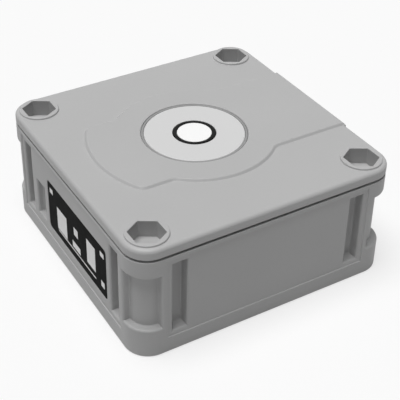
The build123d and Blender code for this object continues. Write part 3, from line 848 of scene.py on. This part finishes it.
# %% Turned metal
def turned_metal(name, colour, roughness, axis_scale=(1.0, 0.02, 0.02)):
    """Plated metal with fine lines left by the lathe."""
    finish = Finish(name, Metallic=1.0)
    lines = finish.noise(0.25, 2.0, axis_scale)
    cloud = finish.noise(3.0, 2.0)
    finish.set("Base Color", finish.blend(cloud, shade(colour, 0.93), shade(colour, 1.04)))
    finish.set("Roughness", roughness + cloud * 0.1)
    finish.bump(lines, 0.006)
    return finish


nickel_finish = turned_metal("plated_brass", (0.66, 0.64, 0.6, 1), 0.24)

# %% Shell with its thread
shell_start = inner_half - 5.6
flange_start = half - panel_depth + 0.7
flange_end = flange_start + 1.9
plug_end = half + 12.0
plug_radius = 6.0
shell_flange = 8.0
plug_bore = 4.4
pitch = 1.0
thread_depth = 0.5
shell_corners = [
    (plug_bore, shell_start, 0),
    (plug_radius - 0.5, shell_start, 0),
    (plug_radius, shell_start + 0.5, 0),
    (plug_radius, flange_start, 0),
    (shell_flange, flange_start, 0.6),
    (shell_flange, flange_end, 0.6),
    (plug_radius - 0.35, flange_end, 0.3),
]
nose = np.linspace(flange_end + 0.4, plug_end - 0.4, 82)
nose_run = np.stack((np.full_like(nose, plug_radius), nose), -1)
tip = [(plug_radius - 0.5, plug_end), (plug_bore + 0.3, plug_end), (plug_bore, plug_end - 0.3)]
shell_profile = np.concatenate((rounded(shell_corners), nose_run, tip))
shell_points, shell_quads, shell_ends = turned(shell_profile, columns=72, ring=True)
angle = np.arctan2(shell_points[:, 1], shell_points[:, 0])
height = shell_points[:, 2]
turns = (height / pitch - angle / (2 * math.pi)) % 1.0
groove = np.clip(1.2 * np.abs(2 * turns - 1) - 0.1, 0, 1)
fade = np.clip((height - flange_end - 0.4) / 0.8, 0, 1) * np.clip((plug_end + 0.2 - height) / 0.8, 0, 1)
on_nose = np.hypot(shell_points[:, 0], shell_points[:, 1]) > plug_radius - 0.01
on_nose &= (height > flange_end + 0.3) & (height < plug_end - 0.3)
shrink = 1 - np.where(on_nose, thread_depth * groove * fade / plug_radius, 0)
shell_points = shell_points * np.stack((shrink, shrink, np.ones_like(shrink)), -1)
shell_mesh = mesh_of("shell", along_plug((shell_points, shell_quads, shell_ends)))
add_piece("threaded_shell", shell_mesh, nickel_finish, "connector_shell")

# %% [markdown]
# ## Finishes of the parts that keep their solids
#
# The circuit boards, chips, transformer and contacts are hidden in the closed sensor, but the library's
# part can be opened, so each has its own finish. Boards are glass laminate under green lacquer, with copper
# tracks that raise it. The coil shows its turns of wire, and its colour carries painted shade: darker in
# the grooves between turns, lighter on their crowns. The rest are plain materials with the drift and the
# grain that each has when it is new.

# %% One function for the plain ones
def plain_finish(name, colour, roughness, metallic=0.0, blob=1.0, drift=0.08, grain=0.006, ior=1.5):
    """Even material with a colour drift of a given size and a grain."""
    finish = Finish(name, Metallic=metallic, IOR=ior)
    cloud = finish.noise(blob, 3.0)
    finish.set("Base Color", finish.blend(cloud, shade(colour, 1 - drift), shade(colour, 1 + drift)))
    finish.set("Roughness", roughness + cloud * 0.1)
    finish.bump(finish.noise(0.15, 2.0), grain)
    return finish


finishes = {
    "carrier_plastic": carrier_finish,
    "seal_rubber": seal_finish,
    "plated_brass": nickel_finish,
    "piezo_ceramic": plain_finish("piezo_ceramic", (0.6, 0.55, 0.45, 1), 0.45, blob=0.6),
    "damping_rubber": rubber("damping_rubber", (0.1, 0.09, 0.08, 1), 0.6),
    "tinned_brass": turned_metal("tinned_brass", (0.7, 0.69, 0.66, 1), 0.3, (0.05, 0.05, 1.0)),
    "screw_steel": plain_finish("screw_steel", (0.6, 0.6, 0.62, 1), 0.25, 1.0, blob=0.5),
    "chip_resin": plain_finish("chip_resin", grey(0.025), 0.5, blob=0.4, drift=0.2, grain=0.01),
    "ferrite": plain_finish("ferrite", (0.07, 0.07, 0.075, 1), 0.42, blob=0.3, drift=0.2, grain=0.012),
    "can_aluminium": plain_finish("can_aluminium", (0.75, 0.75, 0.77, 1), 0.28, 1.0, blob=0.8),
    "probe_ceramic": plain_finish("probe_ceramic", (0.45, 0.42, 0.38, 1), 0.4, blob=0.3),
    "insert_plastic": plain_finish("insert_plastic", grey(0.02), 0.4, blob=0.8, drift=0.2),
    "contact_gold": turned_metal("contact_gold", (0.85, 0.62, 0.2, 1), 0.2),
}

# %% Circuit board and coil
board_finish = Finish("board_laminate", IOR=1.5, Coat_Weight=0.3, Coat_Roughness=0.1)
pattern = {"Vector": board_finish.place((1.0, 1.0, 0.0)), "Scale": 0.35, "Randomness": 0.7}
cells = board_finish.flow("ShaderNodeTexVoronoi", {"distance": "MANHATTAN", "feature": "F1"}, pattern)
track = abs((cells * 3.0).maths("FRACT") - 0.5) < 0.16
board_finish.set("Base Color", board_finish.blend(track, (0.02, 0.12, 0.05, 1), (0.04, 0.21, 0.09, 1)))
board_finish.set("Roughness", 0.3 + board_finish.noise(1.0) * 0.12)
board_finish.bump(track, 0.03)
finishes["board_laminate"] = board_finish

coil_finish = Finish("coil_copper", Metallic=1.0)
strands = {"Vector": coil_finish.place((0.0, 0.0, 1.0)), "Scale": 1.1, "Distortion": 0.15}
wire_turns_and_painted_shade = coil_finish.flow("ShaderNodeTexWave", {"bands_direction": "Z"}, strands, output=1)
# Painted shade and highlight: the copper is darker in the grooves between turns, where the bump is low, and
# lighter on their crowns.
coil_finish.set("Base Color", coil_finish.blend(wire_turns_and_painted_shade, (0.4, 0.16, 0.06, 1), (0.72, 0.33, 0.15, 1)))
coil_finish.set("Roughness", 0.3 + wire_turns_and_painted_shade * 0.1)
coil_finish.bump(wire_turns_and_painted_shade, 0.08)
finishes["coil_copper"] = coil_finish
print("finishes:", ", ".join(sorted(finishes)))

# %% Give each remaining solid its finish
replaced = {"housing", "lid", "transducer_carrier", "carrier_seal", "decoupling_sleeve", "matching_layer"}
replaced |= {"label", "connector_shell"}
slot_of = {row["node"]: row["material_slot"] for row in frame["record"]["subparts"]}
for name, solid in nodes.items():
    if name not in replaced:
        for entry in solid.material_slots:
            entry.material = finishes[slot_of[name]].material
print("solids with a new finish:", len(nodes) - len(replaced))

# %% [markdown]
# ## Floor, light and camera
#
# The photograph is a studio cut-out on white: the top of the block is brightest, the label's side comes
# next, the front is darkest, and no dark shadow is seen. The hex pockets stay dark, so little light comes
# from the sky all round. One high soft lamp, slightly to the left, gives the same. The sides get their
# light from the floor, which acts as a card: it glows a little for the rays that leave the block. To the
# camera and in reflections it is a nearly white sheet that carries the block's faint shadow.

# %% Floor
def floor_finish():
    """Glowing grey card to light that bounces, and nearly white where the camera or a reflection sees it."""
    finish = Finish("floor_pale", Roughness=0.9, Specular_IOR_Level=0.0, Emission_Strength=1.0)
    path = finish.node("ShaderNodeLightPath")
    seen = Flow(finish, path.outputs["Is Camera Ray"]) + Flow(finish, path.outputs["Is Glossy Ray"])
    seen = (seen + Flow(finish, path.outputs["Is Transmission Ray"])).maths("MINIMUM", 1.0)
    white_card = finish.blend(finish.noise(120.0, 2.0), grey(0.61), grey(0.64))
    finish.set("Base Color", finish.blend(seen, white_card, grey(0.35)))
    finish.set("Emission Color", finish.blend(seen, grey(0.0), grey(0.62)))
    return finish


floor_mesh = bpy.data.meshes.new("floor")
floor_reach = 3.0
floor_corners = [(-floor_reach, -floor_reach, 0), (floor_reach, -floor_reach, 0)]
floor_corners += [(floor_reach, floor_reach, 0), (-floor_reach, floor_reach, 0)]
floor_mesh.from_pydata(floor_corners, [], [(0, 1, 2, 3)])
floor_mesh.materials.append(floor_finish().material)
floor = bpy.data.objects.new("floor", floor_mesh)
bpy.context.scene.collection.objects.link(floor)
print("floor:", 2 * floor_reach, "m square")

# %% Light
world = bpy.data.worlds.new("studio")
bpy.context.scene.world = world
world.use_nodes = True
tree = world.node_tree
background = tree.nodes["Background"]
background.inputs["Color"].default_value = grey(1.0)
path = tree.nodes.new("ShaderNodeLightPath")
seen = tree.nodes.new("ShaderNodeMath")
seen.operation = "MAXIMUM"
tree.links.new(path.outputs["Is Camera Ray"], seen.inputs[0])
tree.links.new(path.outputs["Is Glossy Ray"], seen.inputs[1])
strength = tree.nodes.new("ShaderNodeMapRange")
strength.inputs["To Min"].default_value = 0.12
strength.inputs["To Max"].default_value = 1.0
tree.links.new(seen.outputs[0], strength.inputs["Value"])
tree.links.new(strength.outputs[0], background.inputs["Strength"])


def add_sun(name, energy, towards, spread):
    """Soft distant light that comes from a direction and covers a cone of sky, in degrees."""
    sun = bpy.data.lights.new(name, "SUN")
    sun.energy = energy
    sun.angle = math.radians(spread)
    lamp = bpy.data.objects.new(name, sun)
    x, y, z = towards
    lamp.rotation_euler = (math.atan2(math.hypot(x, y), z), 0, math.atan2(y, x) + math.pi / 2)
    bpy.context.scene.collection.objects.link(lamp)


add_sun("high_left", energy=2.68, towards=(-0.17, 0.0, 1.0), spread=36)
print("lights ready")

# %% Camera at the photograph's angle
image_side = 400
focal_pixels = 1026.0
centre_x, centre_y = 167.75, 131.13
azimuth, elevation, distance = -0.5124, 0.5721, 296.7
shift_right, shift_up = -7.469, 13.21
aim = (0, 0, 20)
flat = math.cos(elevation)
back = np.array((math.sin(azimuth) * flat, -math.cos(azimuth) * flat, math.sin(elevation)))
right = np.cross(-back, (0, 0, 1))
right /= np.linalg.norm(right)
up = np.cross(right, -back)
camera_data = bpy.data.cameras.new("photo_view")
camera_data.sensor_width = 36.0
camera_data.lens = focal_pixels * camera_data.sensor_width / image_side
camera_data.shift_x = (image_side / 2 - centre_x) / image_side
camera_data.shift_y = (centre_y - image_side / 2) / image_side
camera = bpy.data.objects.new("photo_view", camera_data)
camera.location = (back * distance + aim + right * shift_right + up * shift_up) * mm
camera.rotation_euler = (math.pi / 2 - elevation, 0, azimuth)
bpy.context.scene.collection.objects.link(camera)
bpy.context.scene.camera = camera
bpy.context.scene.view_settings.view_transform = "Standard"
print("camera at", [round(v, 4) for v in camera.location])
